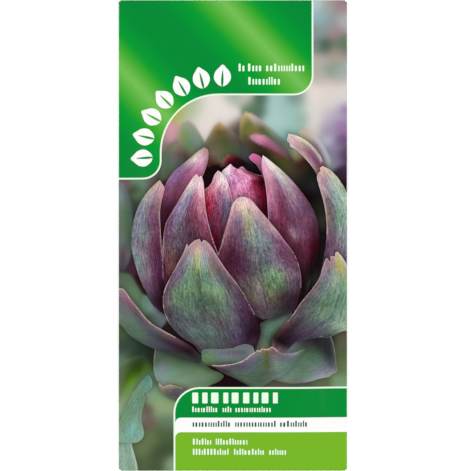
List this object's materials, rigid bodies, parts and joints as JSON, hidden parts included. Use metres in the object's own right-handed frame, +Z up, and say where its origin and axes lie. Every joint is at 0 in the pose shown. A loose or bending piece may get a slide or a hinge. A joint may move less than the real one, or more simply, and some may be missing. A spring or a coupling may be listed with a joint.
{
  "type": "seed packet",
  "caption": "Sealed paper seed packet printed with an artichoke, with a lapped back seam and glued end flaps, holding a crimped foil sachet of seeds.",
  "frame": {"origin": "middle of the plane that the packet lies on, under the middle of its outline", "axes": "+Z up out of the printed front, +Y towards the top of the packet, +X to the right of the printed front"},
  "size_m": [0.08, 0.165, 0.0042],
  "materials": {
    "printed_paper": "satin coated paper, printed outside, plain white inside",
    "foil": "matt aluminium laminate with crimped seals",
    "seed_coat": "dry brown seed coat with darker mottling"
  },
  "bodies": {
    "root": {"paper_envelope": "printed_paper", "sachet_front_foil": "foil", "sachet_back_foil": "foil", "seed_01": "seed_coat", "seed_02": "seed_coat", "seed_03": "seed_coat", "seed_04": "seed_coat", "seed_05": "seed_coat", "seed_06": "seed_coat", "seed_07": "seed_coat", "seed_08": "seed_coat", "seed_09": "seed_coat", "seed_10": "seed_coat", "seed_11": "seed_coat", "seed_12": "seed_coat", "seed_13": "seed_coat", "seed_14": "seed_coat", "seed_15": "seed_coat", "seed_16": "seed_coat", "seed_17": "seed_coat", "seed_18": "seed_coat", "seed_19": "seed_coat", "seed_20": "seed_coat", "seed_21": "seed_coat", "seed_22": "seed_coat", "seed_23": "seed_coat", "seed_24": "seed_coat"}
  },
  "joints": []
}
